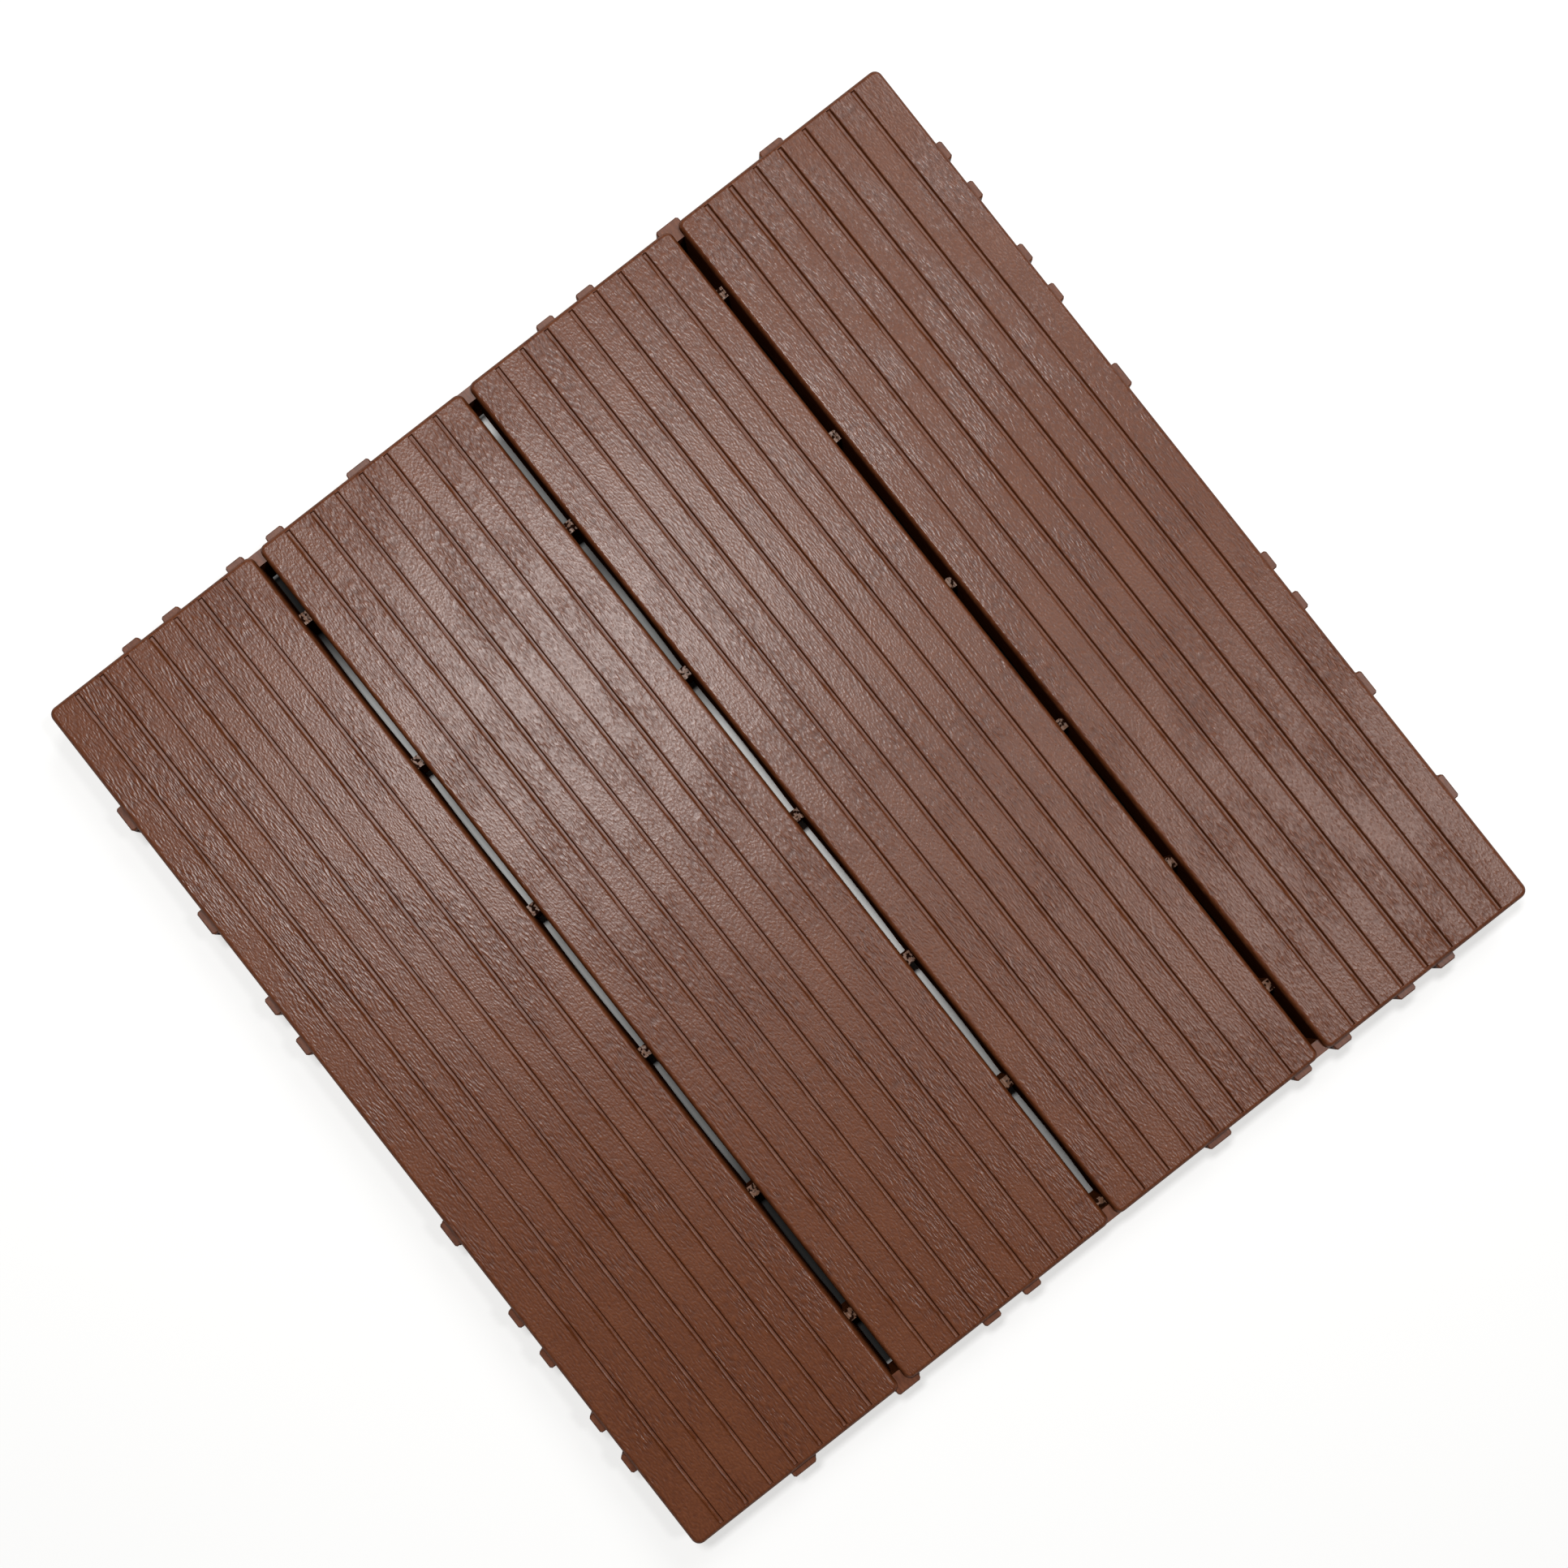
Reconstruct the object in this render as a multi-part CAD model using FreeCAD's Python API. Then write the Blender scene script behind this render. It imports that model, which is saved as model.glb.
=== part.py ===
import FreeCAD, Part
import math
import os

# Interlocking deck tile: one injection moulding in brown polypropylene.
# Four broad slats, each scored into eight strips, stand over a ribbed underside.
# The slats are joined by plates at the ends of the gaps and by low ties between them.
# Tongues and pairs of prongs round the rim plug into the next tile on any side.
# Origin: centre of the footprint, on the ground. X runs across the slats, Y along them, Z up.

# Overall size, in millimetres
TILE_SIDE = 300.0
TILE_HEIGHT = 16.0
TILE_CORNER_RADIUS = 2.5

# Slats
SLAT_COUNT = 4
SLAT_GAP = 2.7
SLAT_CORNER_RADIUS = 2.2
SLAT_EDGE_RADIUS = 1.4

# Scored grooves that divide a slat into strips
STRIPS_PER_SLAT = 8
STRIP_PITCH = 8.85
GROOVE_WIDTH = 1.55
GROOVE_DEPTH = 0.62
GROOVE_LIP_WIDTH = 0.12
GROOVE_LIP_DEPTH = 0.42
GROOVE_FLAT_WIDTH = 0.25
GROOVE_WALL_WIDTH = 0.43
GROOVE_END_LAND = 1.4

# Moulded walls
SKIN = 2.4
SIDE_WALL = 1.8
END_WALL = 2.0

# Plates and ties in the gaps between the slats
RIM_DROP = 2.0
GAP_PLATE_LENGTH = 4.0
TIE_LENGTH = 3.5
TIE_DROP = 4.5

# Where the ties stand, as shares of the side from the far end, in the outer gaps and the middle one
OUTER_TIE_SHARES = (0.076, 0.251, 0.430, 0.602, 0.770, 0.919)
MIDDLE_TIE_SHARES = (0.163, 0.341, 0.514, 0.687, 0.838, 0.983)

# Ribs under each slat
CROSS_BAYS = 12
RIBS_PER_SLAT = 2
RIB_THICKNESS = 1.4
RIB_GROUND_CLEARANCE = 6.0

# Legs of two crossed blades where the ribs cross
LEG_TOP_WIDTH = 13.0
LEG_FOOT_WIDTH = 8.0

# Drainage arches along the ground
ARCH_RISE = 5.0
ARCH_PIER = 3.0
DRAIN_BAYS = (0, 2, 5, 7)
DRAIN_WIDTH = 14.0
DRAIN_RISE = 3.0

# Tongues and prongs round the rim, set out in eighths of a side
EDGE_STATIONS = 8
PRONG_STATIONS = (1, 2, 5)
TONGUE_STATIONS = (3, 6, 7)
TAB_REACH = 2.0
TAB_GROUND_CLEARANCE = 3.0
TAB_TAPER = 0.15
TAB_CORNER_CUT = 0.5
TAB_TOP_CHAMFER = 0.4
TONGUE_WIDTH = 8.2
PRONG_WIDTH = 6.1
TONGUE_CLEARANCE = 0.2
TIP_CLEARANCE = 0.2

# Snap ridge on each side of a tongue, and the notch for it in each prong
SNAP_RIDGE_HEIGHT = 0.35
SNAP_RIDGE_WIDTH = 0.9
SNAP_TOP_DROP = 2.5
SNAP_CLEARANCE = 0.1

# Worked-out sizes
HALF = TILE_SIDE / 2
SLAT_WIDTH = (TILE_SIDE - (SLAT_COUNT - 1) * SLAT_GAP) / SLAT_COUNT
SLAT_PITCH = SLAT_WIDTH + SLAT_GAP
CEILING = TILE_HEIGHT - SKIN
GROOVE_FLOOR = TILE_HEIGHT - GROOVE_DEPTH
RIM_TOP = TILE_HEIGHT - RIM_DROP
TIE_TOP = TILE_HEIGHT - TIE_DROP
BAY = TILE_SIDE / CROSS_BAYS
STATION = TILE_SIDE / EDGE_STATIONS
PRONG_OFFSET = TONGUE_WIDTH / 2 - TAB_TAPER + TONGUE_CLEARANCE + PRONG_WIDTH / 2
SNAP_TOP = RIM_TOP - SNAP_TOP_DROP
SNAP_FROM_RIM = TAB_REACH / 2
NOTCH_FROM_RIM = TAB_REACH + TIP_CLEARANCE - SNAP_FROM_RIM

# How far a cutter runs past what it cuts, and how close two places count as one
CUT_OVERRUN = 1.0
SAME = 1e-6


def block(x0, x1, y0, y1, z0, z1):
    """A plain box between two corners."""
    return Part.makeBox(x1 - x0, y1 - y0, z1 - z0, FreeCAD.Vector(x0, y0, z0))


def prism(points, direction):
    """A closed outline pushed along a direction."""
    corners = [FreeCAD.Vector(*point) for point in points]
    outline = Part.makePolygon(corners + corners[:1])
    return Part.Face(outline).extrude(FreeCAD.Vector(*direction))


def slat_left(index):
    """X of a slat's left side."""
    return -HALF + index * SLAT_PITCH


def long_rib(index, number):
    """X of a rib that runs along a slat, counted from the slat's left side."""
    return slat_left(index) + number * SLAT_WIDTH / (RIBS_PER_SLAT + 1)


def cross_line(number):
    """Y of a cross rib, counted from the near end."""
    return -HALF + number * BAY


def upright_edges(solid, x, y):
    """The vertical edges of a solid that stand at one corner of its plan."""
    found = []
    for edge in solid.Edges:
        box = edge.BoundBox
        on_corner = abs(box.Center.x - x) < SAME and abs(box.Center.y - y) < SAME
        if on_corner and box.ZLength > SAME:
            found.append(edge)
    return found


def edges_at_height(solid, z):
    """The edges of a solid that lie flat at one height."""
    found = []
    for edge in solid.Edges:
        box = edge.BoundBox
        if abs(box.ZMin - z) < SAME and abs(box.ZMax - z) < SAME:
            found.append(edge)
    return found


def slat_blank(index):
    """A slat as a full-height block with rounded corners and a rounded top edge."""
    left = slat_left(index)
    right = left + SLAT_WIDTH
    blank = block(left, right, -HALF, HALF, 0, TILE_HEIGHT)
    for x, outer in ((left, index == 0), (right, index == SLAT_COUNT - 1)):
        radius = TILE_CORNER_RADIUS if outer else SLAT_CORNER_RADIUS
        for y in (-HALF, HALF):
            blank = blank.makeFillet(radius, upright_edges(blank, x, y))
    return blank.makeFillet(SLAT_EDGE_RADIUS, edges_at_height(blank, TILE_HEIGHT))


def groove_outline(x):
    """Across a groove: a steep lip, a hollow that levels out to the right, a flat, a steep wall."""
    y = -HALF + GROOVE_END_LAND
    top = TILE_HEIGHT + CUT_OVERRUN
    left = x - GROOVE_WIDTH / 2
    right = x + GROOVE_WIDTH / 2
    hollow_start = left + GROOVE_LIP_WIDTH
    flat_end = right - GROOVE_WALL_WIDTH
    flat_start = flat_end - GROOVE_FLAT_WIDTH
    ledge = TILE_HEIGHT - GROOVE_LIP_DEPTH

    turn = 2 * math.atan((ledge - GROOVE_FLOOR) / (flat_start - hollow_start))
    radius = (flat_start - hollow_start) / math.sin(turn)
    halfway_x = flat_start - radius * math.sin(turn / 2)
    halfway_z = GROOVE_FLOOR + radius * (1 - math.cos(turn / 2))

    lip_top = FreeCAD.Vector(left - CUT_OVERRUN * GROOVE_LIP_WIDTH / GROOVE_LIP_DEPTH, y, top)
    lip_foot = FreeCAD.Vector(hollow_start, y, ledge)
    halfway = FreeCAD.Vector(halfway_x, y, halfway_z)
    hollow_end = FreeCAD.Vector(flat_start, y, GROOVE_FLOOR)
    wall_foot = FreeCAD.Vector(flat_end, y, GROOVE_FLOOR)
    wall_top = FreeCAD.Vector(right + CUT_OVERRUN * GROOVE_WALL_WIDTH / GROOVE_DEPTH, y, top)
    return Part.Wire([
        Part.makeLine(lip_top, lip_foot),
        Part.Arc(lip_foot, halfway, hollow_end).toShape(),
        Part.makeLine(hollow_end, wall_foot),
        Part.makeLine(wall_foot, wall_top),
        Part.makeLine(wall_top, lip_top),
    ])


def slat_grooves(index):
    """The scored grooves of one slat, which stop just short of its ends."""
    middle = slat_left(index) + SLAT_WIDTH / 2
    along = FreeCAD.Vector(0, TILE_SIDE - 2 * GROOVE_END_LAND, 0)
    grooves = []
    for number in range(1, STRIPS_PER_SLAT):
        outline = groove_outline(middle + (number - STRIPS_PER_SLAT / 2) * STRIP_PITCH)
        grooves.append(Part.Face(outline).extrude(along))
    return grooves


def slat_cavity(index):
    """The hollow under one slat, inside its walls and below its skin."""
    left = slat_left(index)
    x0 = left + SIDE_WALL
    x1 = left + SLAT_WIDTH - SIDE_WALL
    return block(x0, x1, -HALF + END_WALL, HALF - END_WALL, -CUT_OVERRUN, CEILING)


def slat_ribs(index):
    """The lattice of ribs that stiffens one slat, run into the middle of its walls and skin."""
    left = slat_left(index)
    half = RIB_THICKNESS / 2
    x0 = left + SIDE_WALL / 2
    x1 = left + SLAT_WIDTH - SIDE_WALL / 2
    y0 = -HALF + END_WALL / 2
    y1 = HALF - END_WALL / 2
    top = (CEILING + GROOVE_FLOOR) / 2
    ribs = []
    for number in range(1, RIBS_PER_SLAT + 1):
        x = long_rib(index, number)
        ribs.append(block(x - half, x + half, y0, y1, RIB_GROUND_CLEARANCE, top))
    for number in range(1, CROSS_BAYS):
        y = cross_line(number)
        ribs.append(block(x0, x1, y - half, y + half, RIB_GROUND_CLEARANCE, top))
    return ribs


def leg_blade(along_x):
    """One tapered blade of a leg, standing on the ground at the origin."""
    top = RIB_GROUND_CLEARANCE + RIB_THICKNESS
    half_top = LEG_TOP_WIDTH / 2
    half_foot = LEG_FOOT_WIDTH / 2
    half = RIB_THICKNESS / 2
    section = [
        (-half_foot, -half, 0),
        (half_foot, -half, 0),
        (half_top, -half, top),
        (-half_top, -half, top),
    ]
    blade = prism(section, (0, RIB_THICKNESS, 0))
    if not along_x:
        blade.rotate(FreeCAD.Vector(0, 0, 0), FreeCAD.Vector(0, 0, 1), 90)
    return blade


def slat_legs(index):
    """Legs under every second cross rib, on each of the long ribs in turn."""
    blades = []
    for count, number in enumerate(range(1, CROSS_BAYS, 2)):
        x = long_rib(index, count % RIBS_PER_SLAT + 1)
        for along_x in (True, False):
            blade = leg_blade(along_x)
            blade.translate(FreeCAD.Vector(x, cross_line(number), 0))
            blades.append(blade)
    return blades


def gap_plates(gap):
    """The plates that close a gap at its two ends, level with the rim."""
    lap = SIDE_WALL + SLAT_CORNER_RADIUS
    x0 = slat_left(gap) + SLAT_WIDTH - lap
    x1 = slat_left(gap + 1) + lap
    near = block(x0, x1, -HALF, -HALF + GAP_PLATE_LENGTH, 0, RIM_TOP)
    far = block(x0, x1, HALF - GAP_PLATE_LENGTH, HALF, 0, RIM_TOP)
    return [near, far]


def tie_places(gap):
    """Y of the middle of each tie in a gap, from the far end."""
    in_middle = 2 * gap == SLAT_COUNT - 2
    shares = MIDDLE_TIE_SHARES if in_middle else OUTER_TIE_SHARES
    return [HALF - share * TILE_SIDE for share in shares]


def gap_ties(gap):
    """The low ties that join two slats across a gap."""
    x0 = slat_left(gap) + SLAT_WIDTH - SIDE_WALL / 2
    x1 = slat_left(gap + 1) + SIDE_WALL / 2
    half = TIE_LENGTH / 2
    ties = []
    for y in tie_places(gap):
        ties.append(block(x0, x1, y - half, y + half, 0, TIE_TOP))
    return ties


def arch_cutter(width, rise, depth):
    """A low arch on the ground, centred on the origin and pushed along X."""
    sill = -CUT_OVERRUN
    start = FreeCAD.Vector(0, -width / 2, 0)
    crown = FreeCAD.Vector(0, 0, rise)
    end = FreeCAD.Vector(0, width / 2, 0)
    low_end = FreeCAD.Vector(0, width / 2, sill)
    low_start = FreeCAD.Vector(0, -width / 2, sill)
    outline = Part.Wire([
        Part.Arc(start, crown, end).toShape(),
        Part.makeLine(end, low_end),
        Part.makeLine(low_end, low_start),
        Part.makeLine(low_start, start),
    ])
    cutter = Part.Face(outline).extrude(FreeCAD.Vector(depth, 0, 0))
    cutter.translate(FreeCAD.Vector(-depth / 2, 0, 0))
    return cutter


def gap_arches(gap):
    """Arches between the ties, through both walls that face a gap."""
    depth = SLAT_GAP + 2 * (SIDE_WALL + CUT_OVERRUN)
    middle = slat_left(gap) + SLAT_WIDTH + SLAT_GAP / 2
    stops = tie_places(gap)
    arches = []
    for first, second in zip(stops, stops[1:]):
        width = first - second - TIE_LENGTH - 2 * ARCH_PIER
        cutter = arch_cutter(width, ARCH_RISE, depth)
        cutter.translate(FreeCAD.Vector(middle, (first + second) / 2, 0))
        arches.append(cutter)
    return arches


def turned(shape, side):
    """A copy of a shape made for the far side, turned clockwise to another side."""
    copy = shape.copy()
    copy.rotate(FreeCAD.Vector(0, 0, 0), FreeCAD.Vector(0, 0, 1), -90 * side)
    return copy


def rim_drains():
    """Small drainage arches through the outer walls, half-way between two stations."""
    depth = 2 * (max(SIDE_WALL, END_WALL) + CUT_OVERRUN)
    drains = []
    for side in range(4):
        for number in DRAIN_BAYS:
            cutter = arch_cutter(DRAIN_WIDTH, DRAIN_RISE, depth)
            cutter.rotate(FreeCAD.Vector(0, 0, 0), FreeCAD.Vector(0, 0, 1), 90)
            x = -HALF + (number + 0.5) * STATION
            cutter.translate(FreeCAD.Vector(x, HALF, 0))
            drains.append(turned(cutter, side))
    return drains


def tab_half_width(width, from_rim):
    """Half the width of a tapered tab at a distance out from the rim."""
    return width / 2 - TAB_TAPER * from_rim / TAB_REACH


def tab(x, width):
    """A tapered tab on the far side of the tile, with cut tip corners and an eased top."""
    root = HALF - min(SIDE_WALL, END_WALL) / 2
    shoulder = TAB_REACH - TAB_CORNER_CUT
    profile = [
        (width / 2, root),
        (width / 2, HALF),
        (tab_half_width(width, shoulder), HALF + shoulder),
        (tab_half_width(width, TAB_REACH) - TAB_CORNER_CUT, HALF + TAB_REACH),
    ]
    z0 = TAB_GROUND_CLEARANCE
    right = [(x + half, y, z0) for half, y in profile]
    left = [(x - half, y, z0) for half, y in reversed(profile)]
    body = prism(right + left, (0, 0, RIM_TOP - z0))
    top = [edge for edge in edges_at_height(body, RIM_TOP) if edge.BoundBox.YMax > HALF + SAME]
    return body.makeChamfer(TAB_TOP_CHAMFER, top)


def snap_wedge(x, y, side, height, width):
    """A three-sided upright ridge on a face at x, pointing to one side."""
    z0 = TAB_GROUND_CLEARANCE
    root = x - side * height
    section = [
        (root, y - width, z0),
        (x + side * height, y, z0),
        (root, y + width, z0),
    ]
    return prism(section, (0, 0, SNAP_TOP - z0))


def tongue(x):
    """A tongue with a snap ridge on each side."""
    half = tab_half_width(TONGUE_WIDTH, SNAP_FROM_RIM)
    y = HALF + SNAP_FROM_RIM
    ridges = []
    for side in (-1, 1):
        ridges.append(snap_wedge(x + side * half, y, side, SNAP_RIDGE_HEIGHT, SNAP_RIDGE_WIDTH))
    return tab(x, TONGUE_WIDTH).multiFuse(ridges).removeSplitter()


def prong_pair(x):
    """Two prongs that take the next tile's tongue between them."""
    half = tab_half_width(PRONG_WIDTH, NOTCH_FROM_RIM)
    y = HALF + NOTCH_FROM_RIM
    height = SNAP_RIDGE_HEIGHT + SNAP_CLEARANCE
    width = SNAP_RIDGE_WIDTH + SNAP_CLEARANCE
    prongs = []
    for side in (-1, 1):
        centre = x + side * PRONG_OFFSET
        notch = snap_wedge(centre - side * half, y, side, height, width)
        prongs.append(tab(centre, PRONG_WIDTH).cut(notch))
    return prongs


def rim_tabs():
    """Tongues and prong pairs on all four sides, in the same order going clockwise."""
    tabs = []
    for side in range(4):
        for number in TONGUE_STATIONS:
            tabs.append(turned(tongue(-HALF + number * STATION), side))
        for number in PRONG_STATIONS:
            for prong in prong_pair(-HALF + number * STATION):
                tabs.append(turned(prong, side))
    return tabs


def deck_tile():
    """The whole moulding: hollow slats, their joining plates and ties, then ribs, legs and tabs."""
    slats = range(SLAT_COUNT)
    gaps = range(SLAT_COUNT - 1)

    blocks = [slat_blank(index) for index in slats]
    cuts = rim_drains()
    fills = rim_tabs()
    for gap in gaps:
        blocks += gap_plates(gap) + gap_ties(gap)
        cuts += gap_arches(gap)
    for index in slats:
        cuts += [slat_cavity(index)] + slat_grooves(index)
        fills += slat_ribs(index) + slat_legs(index)

    shell = blocks[0].multiFuse(blocks[1:]).cut(cuts)
    return shell.multiFuse(fills).removeSplitter()


os.makedirs("parts", exist_ok=True)
tile = deck_tile()
print("deck_tile:", len(tile.Solids), "solid,", round(tile.Volume / 1000, 1), "cm3")
tile.exportStep("parts/deck_tile.step")
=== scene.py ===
import math
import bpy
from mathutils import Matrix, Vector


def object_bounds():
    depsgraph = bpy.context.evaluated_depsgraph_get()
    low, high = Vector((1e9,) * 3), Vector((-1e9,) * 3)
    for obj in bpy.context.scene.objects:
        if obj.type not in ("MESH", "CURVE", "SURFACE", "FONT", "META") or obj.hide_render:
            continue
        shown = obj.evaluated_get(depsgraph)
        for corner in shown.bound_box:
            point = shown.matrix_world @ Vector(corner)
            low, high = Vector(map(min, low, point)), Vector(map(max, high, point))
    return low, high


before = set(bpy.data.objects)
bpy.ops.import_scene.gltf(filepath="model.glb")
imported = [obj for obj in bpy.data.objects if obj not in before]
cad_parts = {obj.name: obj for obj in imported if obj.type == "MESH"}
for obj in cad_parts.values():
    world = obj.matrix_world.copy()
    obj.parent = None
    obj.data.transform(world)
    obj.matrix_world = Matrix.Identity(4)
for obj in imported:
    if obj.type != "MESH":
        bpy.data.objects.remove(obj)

from types import SimpleNamespace

import bpy
from mathutils import Vector

cad_low, cad_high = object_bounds()

# Photograph: its side in pixels, and the tile's centre in it
PHOTO_SIDE = 1932
PHOTO_CENTRE = (970.5, 988.0)

# Camera, in metres and degrees. It stands above a point left of and below the tile's centre.
CAMERA_FOOT = (-0.0375, -0.030)
CAMERA_ABOVE_TILE = 0.500
CAMERA_TURN = -38.1
CAMERA_TILT = 1.0
CAMERA_CLIP = (0.01, 20)
SENSOR = 36.0
PIXELS_PER_METRE = 4350.0

# Tile, in metres, as the solid has it. The drop is from the top of the slats to the top of a tie.
TILE_TOP = cad_high.z
TILE_HALF = 0.150
SLAT_PITCH = 0.075675
STRIP_PITCH = 0.00885
GROOVE_HALF_WIDTH = 0.000775
TIE_DROP = 0.0045

# Masks fade in or out between two values. Metres from the tile's centre, a slat's middle, a gap's middle:
RIM_FADE = (0.1475, 0.1490)
LAST_GROOVE_FADE = (0.031, 0.032)
GAP_FADE = (0.0020, 0.0025)

# Metres below the top of the slats:
TOP_FADE = (0.00005, 0.00030)
LIP_FADE = (0.00049, 0.00056)
UPPER_WALL_FADE = (0.0010, 0.0015)

# Metres from the level of the ties' tops, and from a groove's side:
TIE_FADE = (0.0001, 0.0003)
EDGE_FADE = (0.00005, 0.00045)

# The part of a face's direction that points up, from -1 to 1, and the part that points right:
STEEP_FACING = (0.60, 0.97)
DOWN_FACING = (-0.6, -0.4)
LEFT_FACING = (-0.3, 0.0)

# Noises: how many cells of each lie in a metre across the slats, along them and upwards
FIBRE_CELLS = (1750, 460, 1750)
PEBBLE_CELLS = (1750, 1080, 1750)
DRIFT_CELLS = (140, 60, 140)
PATCH_CELLS = (70, 40, 70)
SPOT_CELLS = (800, 800, 0)
STRENGTH_CELLS = (110, 9, 0)
WAVER_CELLS = (40, 90, 0)
WANDER_CELLS = (60, 35, 0)

# Noises: their detail and roughness
GRAIN_DETAIL = (1, 0.4)
PATCH_DETAIL = (2, 0.5)
SPOT_DETAIL = (1, 0.5)
WAVER_DETAIL = (2, 0.6)

# Noises: the stretch of their values that each use of them reads
PEBBLE_RANGE = (0.40, 0.60)
PATCH_RANGE = (0.38, 0.62)
SPOT_RANGE = (0.44, 0.52)
STRENGTH_RANGE = (0.33, 0.67)
MIDDLE_RANGE = (0.3, 0.7)

# Noises: what brings the average of one that is a colour to zero
TO_ZERO = (-0.5, -0.5, -0.5)

# Moulded grain: its depth and how far its fibres wander, in metres, and the most that is pebbles
GRAIN_DEPTH = 0.00018
DRIFT_REACH = (0.0014, 0.0014, 0)
PEBBLE_SHARE = 0.60

# Shares of that depth: in grooves and on walls, on the slats, on the ties, and between patches
SMOOTH_RELIEF = 0.12
SLAT_RELIEF = 1.06
TIE_RELIEF = 2.0
PATCH_RELIEF = (1.20, 0.75)

# Gloss: the roughness of the grain's hollows and ridges, and of smooth faces
GRAIN_ROUGHNESS = (0.39, 0.29)
SMOOTH_ROUGHNESS = 0.40
REFRACTION = 1.5

# Colour of the plastic, from hollows to ridges, the paler colour of the ties' tops, which is a painted
# sheen, and of the spots on them
PLASTIC_COLOURS = (
    (0.30, (0.098, 0.025, 0.008)),
    (0.50, (0.149, 0.042, 0.014)),
    (0.70, (0.206, 0.066, 0.026)),
)
PATCHES_IN_TONE = 0.3
PAINTED_TIE_SHEEN = (0.33, 0.19, 0.12, 1)
PAINTED_TIE_SHEEN_SHARE = 0.5
SPOT_COLOUR = (0.024, 0.008, 0.004, 1)

# Painted shade in matt places: how dark the walls and the other matt places are painted, how much of a
# strip's edge is matt and painted darker, how much this varies along a groove, and how far the matt bands
# wander, in metres down and across
PAINTED_WALL_SHADE = 0.55
PAINTED_MATT_SHADE = 0.76
EDGE_PAINTED_SHADE_SHARE = 0.8
GROOVE_STRENGTH = (0.35, 1.25)
LIP_WAVER = (-0.00009, 0.00009)
EDGE_WANDER = (-0.00014, 0.00014)

# Lamps: name, place, the point they shine on, their two sides and their power, in metres and watts
LAMPS = (
    ("key", (-0.01, 0.26, 1.0), (0, 0.08, 0), (0.20, 0.12), 5.25),
    ("right_high", (0.59, -0.33, 1.45), (0, 0, 0), (0.2, 0.2), 4.9),
    ("right_low", (0.97, 0.58, 1.13), (0, 0, 0), (0.6, 0.6), 6.5),
)

# Even light on the object from all round
WORLD_LIGHT = 0.10

# Floor: half its side, what it throws back of the light, and its even part for the camera
FLOOR_HALF = 2.0
FLOOR_DIFFUSE = 0.54
FLOOR_GLOW = 0.575
FLOOR_GLOW_COLOUR = (1.0, 0.995, 0.98, 1)

# The lamps fade towards the horizon, so between these distances the even part grows to white
FLOOR_GLOW_FADE = (0.33, 1.0)

# Where the painted shade under the tile ends, and where it turns into the middle gap's and the right
# gap's
UNDER_TILE_FADE = (0.145, 0.149)
MIDDLE_GAP_FADE = (-0.040, -0.035)
RIGHT_GAP_FADE = (0.035, 0.040)

# Floor under the tile, with painted light and shade: how pale it is at shares of the way from a gap's far
# end to its near end
LEFT_GAP_SHADE = (
    (0.09, 0.03), (0.17, 0.66), (0.24, 0.72), (0.31, 0.58), (0.40, 0.78),
    (0.47, 0.48), (0.53, 0.57), (0.62, 0.35), (0.72, 0.31), (0.78, 0.04),
)
MIDDLE_GAP_SHADE = (
    (0.032, 0.97), (0.045, 0.33), (0.14, 0.33), (0.20, 0.18), (0.25, 0.42),
    (0.36, 0.33), (0.40, 0.99), (0.67, 0.99), (0.74, 0.76), (0.85, 0.50),
)
RIGHT_GAP_SHADE = 0.03

# Blue in that shade, as a share of its red and green
SHADE_BLUE = 0.98


def image_axes():
    """The picture's right and up, as directions on the ground."""
    turn = math.radians(CAMERA_TURN)
    right = Vector((math.cos(turn), math.sin(turn), 0))
    up = Vector((-math.sin(turn), math.cos(turn), 0))
    return right, up


def make_camera():
    """A camera that frames the tile as the photograph does."""
    camera = bpy.data.objects.new("camera", bpy.data.cameras.new("camera"))
    bpy.context.scene.collection.objects.link(camera)
    camera.location = (*CAMERA_FOOT, TILE_TOP + CAMERA_ABOVE_TILE)
    camera.rotation_mode = "XYZ"
    tilt = math.radians(CAMERA_TILT)
    camera.rotation_euler = (tilt, 0, math.radians(CAMERA_TURN))
    focal = PIXELS_PER_METRE * CAMERA_ABOVE_TILE
    camera.data.sensor_width = SENSOR
    camera.data.lens = SENSOR * focal / PHOTO_SIDE
    camera.data.clip_start, camera.data.clip_end = CAMERA_CLIP

    # The shift puts the tile's centre where the photograph has it
    right, up = image_axes()
    foot_to_centre = -Vector((*CAMERA_FOOT, 0))
    across = foot_to_centre.dot(right)
    along = foot_to_centre.dot(up)
    ahead = CAMERA_ABOVE_TILE * math.cos(tilt) + along * math.sin(tilt)
    rise = along * math.cos(tilt) - CAMERA_ABOVE_TILE * math.sin(tilt)
    wanted = (PHOTO_CENTRE[0] - PHOTO_SIDE / 2, PHOTO_SIDE / 2 - PHOTO_CENTRE[1])
    camera.data.shift_x = (focal * across / ahead - wanted[0]) / PHOTO_SIDE
    camera.data.shift_y = (focal * rise / ahead - wanted[1]) / PHOTO_SIDE
    bpy.context.scene.camera = camera


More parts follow.
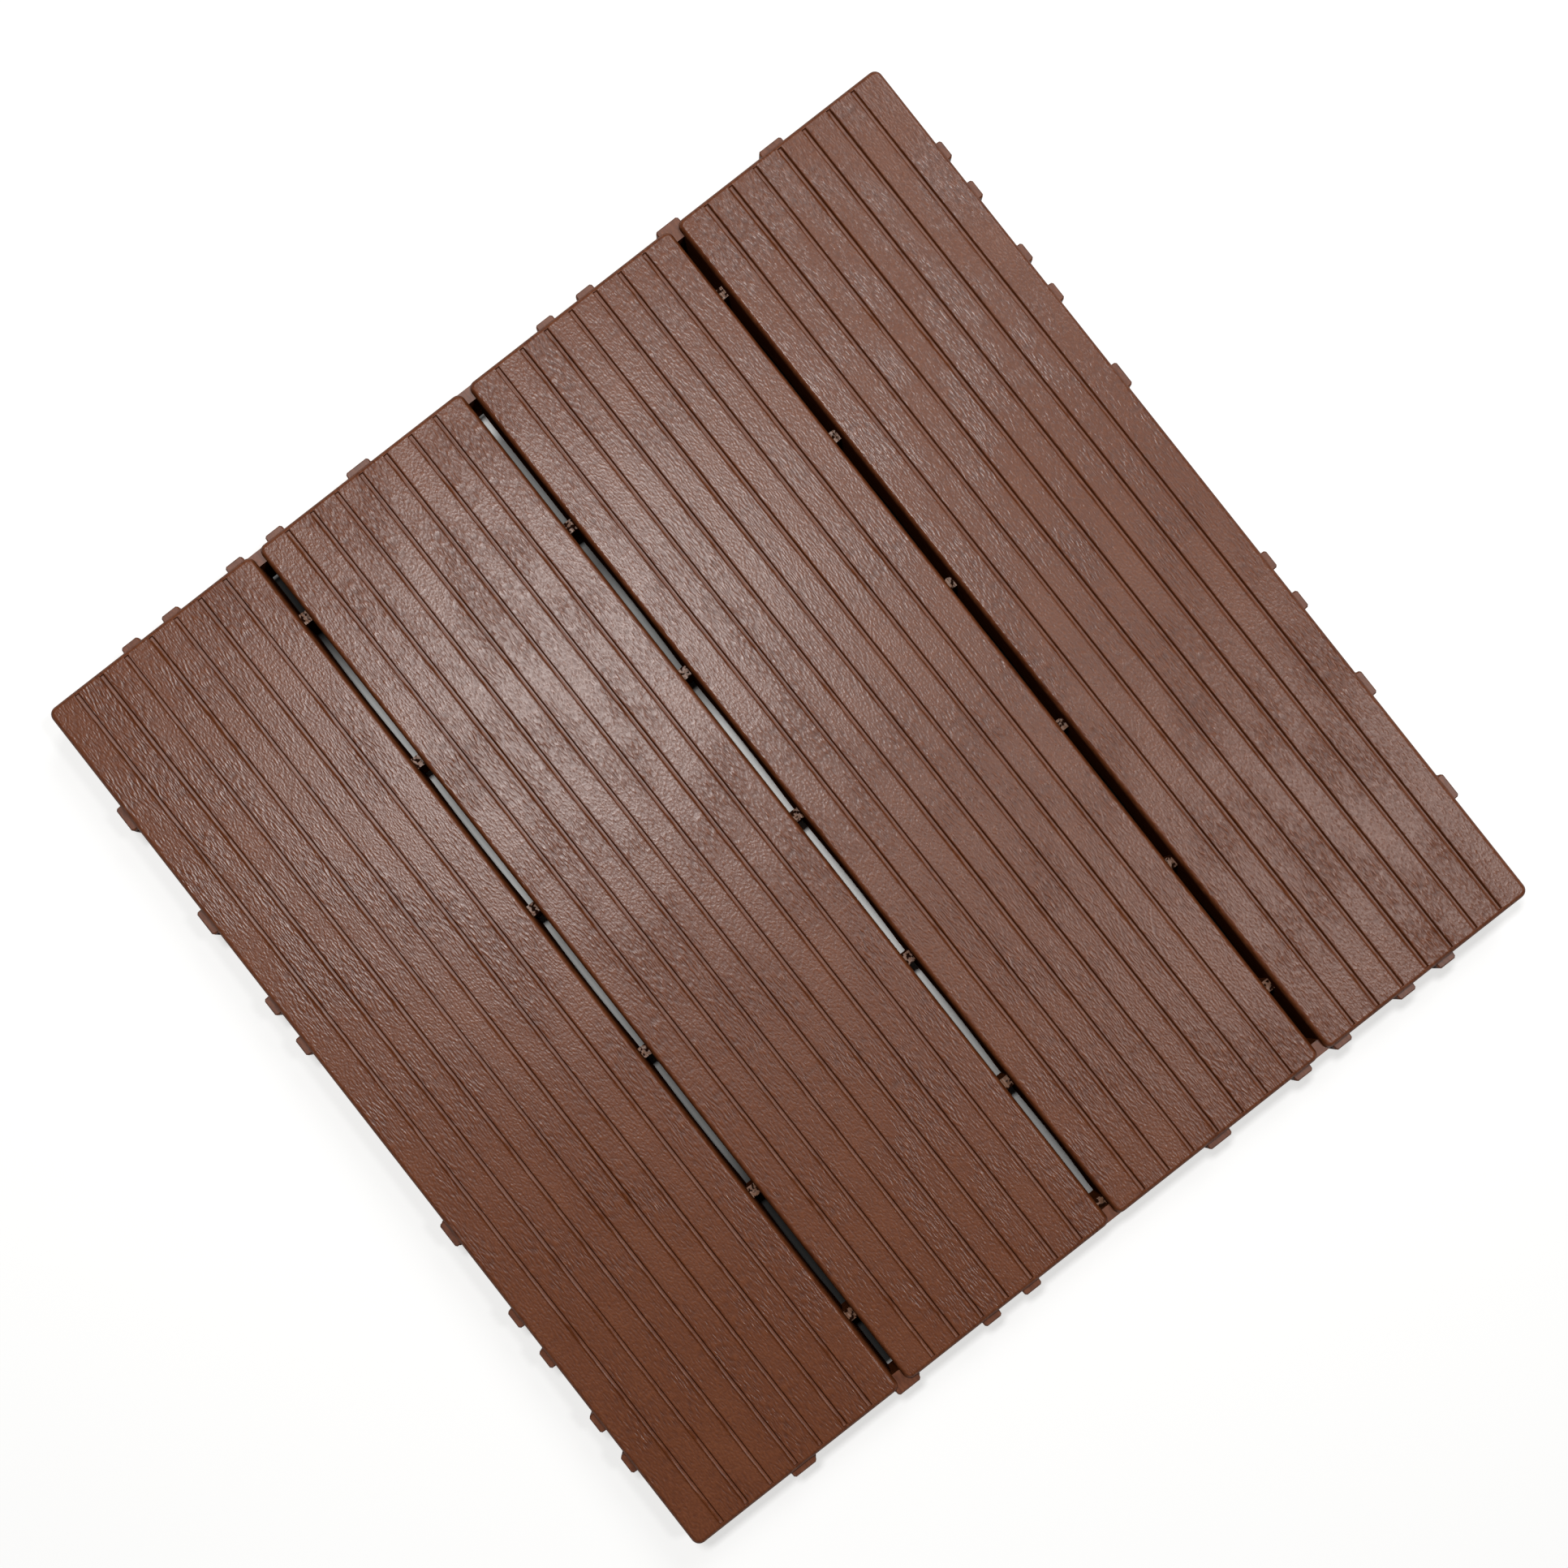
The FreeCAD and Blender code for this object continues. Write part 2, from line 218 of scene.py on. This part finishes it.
class Nodes:
    """A material's node tree, with short calls for the nodes used here."""

    def __init__(self, name):
        self.material = bpy.data.materials.new(name)
        self.material.use_nodes = True
        self.tree = self.material.node_tree
        self.tree.nodes.clear()

    def add(self, kind, **settings):
        node = self.tree.nodes.new(kind)
        for key, value in settings.items():
            setattr(node, key, value)
        return node

    def set(self, socket, value):
        """Links a socket to another node's output, or gives it a plain value."""
        if isinstance(value, bpy.types.NodeSocket):
            self.tree.links.new(value, socket)
        else:
            socket.default_value = value

    def with_surface(self, surface):
        """The material, with this shader as its surface."""
        out = self.add("ShaderNodeOutputMaterial")
        self.set(out.inputs["Surface"], surface)
        return self.material

    def math(self, operation, first, second=0.0, clamp=False):
        node = self.add("ShaderNodeMath", operation=operation, use_clamp=clamp)
        self.set(node.inputs[0], first)
        self.set(node.inputs[1], second)
        return node.outputs[0]

    def plus(self, first, second):
        return self.math("ADD", first, second)

    def minus(self, first, second):
        return self.math("SUBTRACT", first, second)

    def times(self, first, second):
        return self.math("MULTIPLY", first, second)

    def larger(self, first, second):
        return self.math("MAXIMUM", first, second)

    def magnitude(self, value):
        return self.math("ABSOLUTE", value)

    def remainder(self, value, step):
        return self.math("FLOORED_MODULO", value, step)

    def vector_math(self, operation, first, second):
        node = self.add("ShaderNodeVectorMath", operation=operation)
        self.set(node.inputs[0], first)
        self.set(node.inputs[1], second)
        return node.outputs[0]

    def scaled(self, vector, scale):
        return self.vector_math("MULTIPLY", vector, scale)

    def shifted(self, vector, amount):
        return self.vector_math("ADD", vector, amount)

    def parts(self, vector):
        """A vector's parts, by the names X, Y and Z."""
        node = self.add("ShaderNodeSeparateXYZ")
        self.set(node.inputs[0], vector)
        return node.outputs

    def darkened(self, colour, share):
        node = self.add("ShaderNodeVectorMath", operation="SCALE")
        self.set(node.inputs[0], colour)
        self.set(node.inputs["Scale"], share)
        return node.outputs[0]

    def blend(self, factor, first, second):
        node = self.add("ShaderNodeMix", data_type="FLOAT")
        self.set(node.inputs[0], factor)
        self.set(node.inputs[2], first)
        self.set(node.inputs[3], second)
        return node.outputs[0]

    def colour_blend(self, factor, first, second):
        # The sockets for colours come after those for numbers and vectors
        node = self.add("ShaderNodeMix", data_type="RGBA")
        self.set(node.inputs[0], factor)
        self.set(node.inputs[6], first)
        self.set(node.inputs[7], second)
        return node.outputs[2]

    def noise(self, place, cells, detail, output="Fac"):
        """Noise with so many cells in a metre, and a detail and roughness."""
        node = self.add("ShaderNodeTexNoise")
        self.set(node.inputs["Vector"], self.scaled(place, cells))
        node.inputs["Scale"].default_value = 1.0
        node.inputs["Detail"].default_value = detail[0]
        node.inputs["Roughness"].default_value = detail[1]
        return node.outputs[output]

    def ramp(self, factor, stops):
        """A colour that goes through stops, which are pairs of a place and a colour."""
        node = self.add("ShaderNodeValToRGB")
        self.set(node.inputs["Fac"], factor)
        elements = node.color_ramp.elements
        elements[0].position, elements[0].color = stops[0][0], (*stops[0][1], 1)
        elements[1].position, elements[1].color = stops[-1][0], (*stops[-1][1], 1)
        for position, colour in stops[1:-1]:
            elements.new(position).color = (*colour, 1)
        return node.outputs["Color"]

    def between(self, value, limits, results):
        """Goes from the first result to the second while the value goes between the limits."""
        node = self.add("ShaderNodeMapRange")
        self.set(node.inputs["Value"], value)
        node.inputs["From Min"].default_value = limits[0]
        node.inputs["From Max"].default_value = limits[1]
        self.set(node.inputs["To Min"], results[0])
        self.set(node.inputs["To Max"], results[1])
        return node.outputs["Result"]

    def rises(self, value, limits):
        return self.between(value, limits, (0.0, 1.0))

    def falls(self, value, limits):
        return self.between(value, limits, (1.0, 0.0))


def tile_masks(n, place):
    """Masks from 0 to 1 that tell the tile's faces apart, and the places that they are read from."""
    at = n.parts(place)
    facing = n.parts(n.add("ShaderNodeNewGeometry").outputs["Normal"])
    farthest = n.larger(n.magnitude(at["X"]), n.magnitude(at["Y"]))
    masks = SimpleNamespace()
    masks.inside = n.falls(farthest, RIM_FADE)
    masks.depth = n.minus(TILE_TOP, at["Z"])
    masks.on_top = n.falls(masks.depth, TOP_FADE)
    masks.faces_left = n.falls(facing["X"], LEFT_FACING)

    # Place across a slat from its middle, and the stretch of it that has grooves
    masks.in_slat = n.minus(n.remainder(at["X"], SLAT_PITCH), SLAT_PITCH / 2)
    off_middle = n.magnitude(masks.in_slat)
    masks.grooved = n.falls(off_middle, LAST_GROOVE_FADE)

    # Steep faces in the gaps and near the top, but none on the underside
    in_gap = n.falls(n.minus(SLAT_PITCH / 2, off_middle), GAP_FADE)
    near_top = n.falls(masks.depth, UPPER_WALL_FADE)
    steep = n.times(n.falls(facing["Z"], STEEP_FACING), n.rises(facing["Z"], DOWN_FACING))
    masks.steep = n.times(steep, n.larger(in_gap, near_top))

    # The ties' tops: level faces at their height, inside the outer walls
    off_tie = n.magnitude(n.minus(masks.depth, TIE_DROP))
    on_tie = n.times(n.falls(off_tie, TIE_FADE), masks.inside)
    masks.on_tie = n.times(on_tie, n.minus(1.0, masks.steep))
    return masks


def moulded_grain(n, place, patches):
    """Embossed fibres along Y that turn into leathery pebbles in patches."""
    # The fibres wander, so the grain is read at a gently displaced place
    drift = n.noise(place, DRIFT_CELLS, PATCH_DETAIL, "Color")
    drift = n.scaled(n.shifted(drift, TO_ZERO), DRIFT_REACH)
    grain_place = n.shifted(place, drift)
    fibres = n.noise(grain_place, FIBRE_CELLS, GRAIN_DETAIL)
    pebbles = n.noise(grain_place, PEBBLE_CELLS, GRAIN_DETAIL)
    leathery = n.between(patches, PEBBLE_RANGE, (0.0, PEBBLE_SHARE))
    return n.blend(leathery, fibres, pebbles)


def grain_bump(n, grain, patches, masks):
    """The grain's relief: deepest on the ties' tops, faint in the grooves and on the walls."""
    relief = n.blend(masks.on_top, SMOOTH_RELIEF, SLAT_RELIEF)
    relief = n.blend(masks.on_tie, relief, TIE_RELIEF)
    relief = n.times(relief, n.between(patches, PATCH_RANGE, PATCH_RELIEF))
    bump = n.add("ShaderNodeBump")
    bump.inputs["Strength"].default_value = 1.0
    bump.inputs["Distance"].default_value = GRAIN_DEPTH
    n.set(bump.inputs["Height"], n.times(grain, relief))
    return bump.outputs["Normal"]


def painted_groove_lip_shade(n, place, masks):
    """Painted shade on the upper sides of the grooves, down to a depth that wavers along them."""
    waver = n.noise(place, WAVER_CELLS, WAVER_DETAIL)
    depth = n.plus(masks.depth, n.between(waver, MIDDLE_RANGE, LIP_WAVER))
    return n.times(n.falls(depth, LIP_FADE), n.minus(1.0, masks.on_top))


def painted_strip_edge_shade(n, place, masks, strength):
    """Painted shade on the strips' edges, in a narrow band that wanders beside each groove."""
    in_strip = n.remainder(n.plus(masks.in_slat, STRIP_PITCH / 2), STRIP_PITCH)
    wander = n.noise(place, WANDER_CELLS, WAVER_DETAIL)
    off_groove = n.plus(in_strip, n.between(wander, MIDDLE_RANGE, EDGE_WANDER))
    off_groove = n.magnitude(n.minus(off_groove, STRIP_PITCH / 2))
    band = (GROOVE_HALF_WIDTH + EDGE_FADE[0], GROOVE_HALF_WIDTH + EDGE_FADE[1])
    painted_edge_shade = n.between(off_groove, band, (EDGE_PAINTED_SHADE_SHARE, 0.0))
    painted_edge_shade = n.times(n.times(painted_edge_shade, masks.grooved), masks.on_top)
    return n.math("MULTIPLY", painted_edge_shade, strength, clamp=True)


def brown_plastic():
    """Dark reddish-brown plastic: satin where it is grained, matt with painted shade in gaps and grooves.
    """
    n = Nodes("brown_plastic")
    place = n.add("ShaderNodeTexCoord").outputs["Object"]
    masks = tile_masks(n, place)
    patches = n.noise(place, PATCH_CELLS, PATCH_DETAIL)
    grain = moulded_grain(n, place, patches)

    # The ties' tops are paler, a painted sheen, with dark matt spots
    colour = n.ramp(n.blend(PATCHES_IN_TONE, grain, patches), PLASTIC_COLOURS)
    colour = n.colour_blend(n.times(masks.on_tie, PAINTED_TIE_SHEEN_SHARE), colour, PAINTED_TIE_SHEEN)
    spots = n.falls(n.noise(place, SPOT_CELLS, SPOT_DETAIL), SPOT_RANGE)
    spots = n.times(spots, masks.on_tie)
    colour = n.colour_blend(spots, colour, SPOT_COLOUR)

    # Along the grooves, the painted shade is stronger in some stretches than others
    strength = n.noise(place, STRENGTH_CELLS, SPOT_DETAIL)
    strength = n.between(strength, STRENGTH_RANGE, GROOVE_STRENGTH)
    painted_lip_shade = painted_groove_lip_shade(n, place, masks)
    painted_edge_shade = painted_strip_edge_shade(n, place, masks, strength)

    # Painted shade: all walls in the gaps are darkened, but in a groove only the right one, which faces
    # left, away from the lamps on the right
    in_groove = n.times(masks.faces_left, strength)
    painted_wall_shade = n.times(masks.steep, n.blend(masks.grooved, 1.0, in_groove))
    matt_painted_shade = n.add("ShaderNodeBsdfDiffuse")
    n.set(matt_painted_shade.inputs["Color"], n.darkened(colour, n.blend(painted_wall_shade, PAINTED_MATT_SHADE, PAINTED_WALL_SHADE)))

    satin = n.add("ShaderNodeBsdfPrincipled")
    grained = n.between(grain, MIDDLE_RANGE, GRAIN_ROUGHNESS)
    n.set(satin.inputs["Base Color"], colour)
    n.set(satin.inputs["Roughness"], n.blend(masks.on_top, SMOOTH_ROUGHNESS, grained))
    n.set(satin.inputs["Normal"], grain_bump(n, grain, patches, masks))
    satin.inputs["IOR"].default_value = REFRACTION

    # The outer walls stay satin, without the painted shade
    painted_shade_and_spot_share = n.larger(n.larger(masks.steep, painted_lip_shade), n.larger(painted_edge_shade, spots))
    surface = n.add("ShaderNodeMixShader")
    n.set(surface.inputs[0], n.times(painted_shade_and_spot_share, masks.inside))
    n.set(surface.inputs[1], satin.outputs["BSDF"])
    n.set(surface.inputs[2], matt_painted_shade.outputs["BSDF"])
    return n.with_surface(surface.outputs[0])


def dress_tile():
    """Gives the moulding its material."""
    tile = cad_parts["deck_tile"]
    tile.material_slots[0].material = brown_plastic()


def shade_stops(shades):
    """A colour ramp's stops from pairs of a place and a grey, which is a trace warm."""
    return [(place, (grey, grey, SHADE_BLUE * grey)) for place, grey in shades]


def painted_gap_shade(n, across, along):
    """Painted light and shade in the floor's colour under the tile, as it shows through the left, middle
    and right gap.
    """
    from_far_end = n.falls(along, (-TILE_HALF, TILE_HALF))
    left = n.ramp(from_far_end, shade_stops(LEFT_GAP_SHADE))
    middle = n.ramp(from_far_end, shade_stops(MIDDLE_GAP_SHADE))
    shade = n.colour_blend(n.rises(across, MIDDLE_GAP_FADE), left, middle)
    right = (RIGHT_GAP_SHADE, RIGHT_GAP_SHADE, RIGHT_GAP_SHADE, 1)
    return n.colour_blend(n.rises(across, RIGHT_GAP_FADE), shade, right)


def floor_white():
    """A floor that looks white and keeps the tile's shadow, with painted light and shade under the tile.
    """
    n = Nodes("floor_white")
    at = n.parts(n.add("ShaderNodeTexCoord").outputs["Object"])
    farthest = n.larger(n.magnitude(at["X"]), n.magnitude(at["Y"]))
    outside = n.rises(farthest, UNDER_TILE_FADE)
    open_floor = (FLOOR_DIFFUSE, FLOOR_DIFFUSE, FLOOR_DIFFUSE, 1)
    diffuse = n.add("ShaderNodeBsdfDiffuse")
    shade = painted_gap_shade(n, at["X"], at["Y"])
    n.set(diffuse.inputs["Color"], n.colour_blend(outside, shade, open_floor))

    glow = n.add("ShaderNodeEmission")
    glow.inputs["Color"].default_value = FLOOR_GLOW_COLOUR
    camera_ray = n.add("ShaderNodeLightPath").outputs["Is Camera Ray"]
    strength = n.between(farthest, FLOOR_GLOW_FADE, (FLOOR_GLOW, 1.0))
    n.set(glow.inputs["Strength"], n.times(n.times(camera_ray, outside), strength))
    both = n.add("ShaderNodeAddShader")
    n.set(both.inputs[0], diffuse.outputs[0])
    n.set(both.inputs[1], glow.outputs[0])
    return n.with_surface(both.outputs[0])


def make_floor():
    """A square floor that the tile lies on."""
    low, high = -FLOOR_HALF, FLOOR_HALF
    mesh = bpy.data.meshes.new("floor")
    corners = [(low, low, 0), (high, low, 0), (high, high, 0), (low, high, 0)]
    mesh.from_pydata(corners, [], [(0, 1, 2, 3)])
    mesh.materials.append(floor_white())
    floor = bpy.data.objects.new("floor", mesh)
    bpy.context.scene.collection.objects.link(floor)


def area_lamp(name, place, aim, size, power):
    """A rectangular lamp that stands at a place and shines on a point."""
    lamp = bpy.data.objects.new(name, bpy.data.lights.new(name, "AREA"))
    bpy.context.scene.collection.objects.link(lamp)
    lamp.data.shape = "RECTANGLE"
    lamp.data.size, lamp.data.size_y = size
    lamp.data.energy = power
    lamp.location = place
    lamp.rotation_mode = "QUATERNION"
    lamp.rotation_quaternion = (Vector(aim) - Vector(place)).to_track_quat("-Z", "Y")


def make_world():
    """White for the camera, and a faint even light on the object."""
    world = bpy.data.worlds.new("world")
    bpy.context.scene.world = world
    world.use_nodes = True
    tree = world.node_tree
    tree.nodes.clear()
    seen = tree.nodes.new("ShaderNodeBackground")
    seen.inputs["Color"].default_value = (1.0, 1.0, 1.0, 1)
    seen.inputs["Strength"].default_value = 1.0
    light = tree.nodes.new("ShaderNodeBackground")
    light.inputs["Strength"].default_value = WORLD_LIGHT
    path = tree.nodes.new("ShaderNodeLightPath")
    mix = tree.nodes.new("ShaderNodeMixShader")
    out = tree.nodes.new("ShaderNodeOutputWorld")
    tree.links.new(path.outputs["Is Camera Ray"], mix.inputs[0])
    tree.links.new(light.outputs[0], mix.inputs[1])
    tree.links.new(seen.outputs[0], mix.inputs[2])
    tree.links.new(mix.outputs[0], out.inputs["Surface"])


bpy.context.scene.view_settings.view_transform = "Standard"
make_camera()
dress_tile()
make_floor()
for lamp_settings in LAMPS:
    area_lamp(*lamp_settings)
make_world()
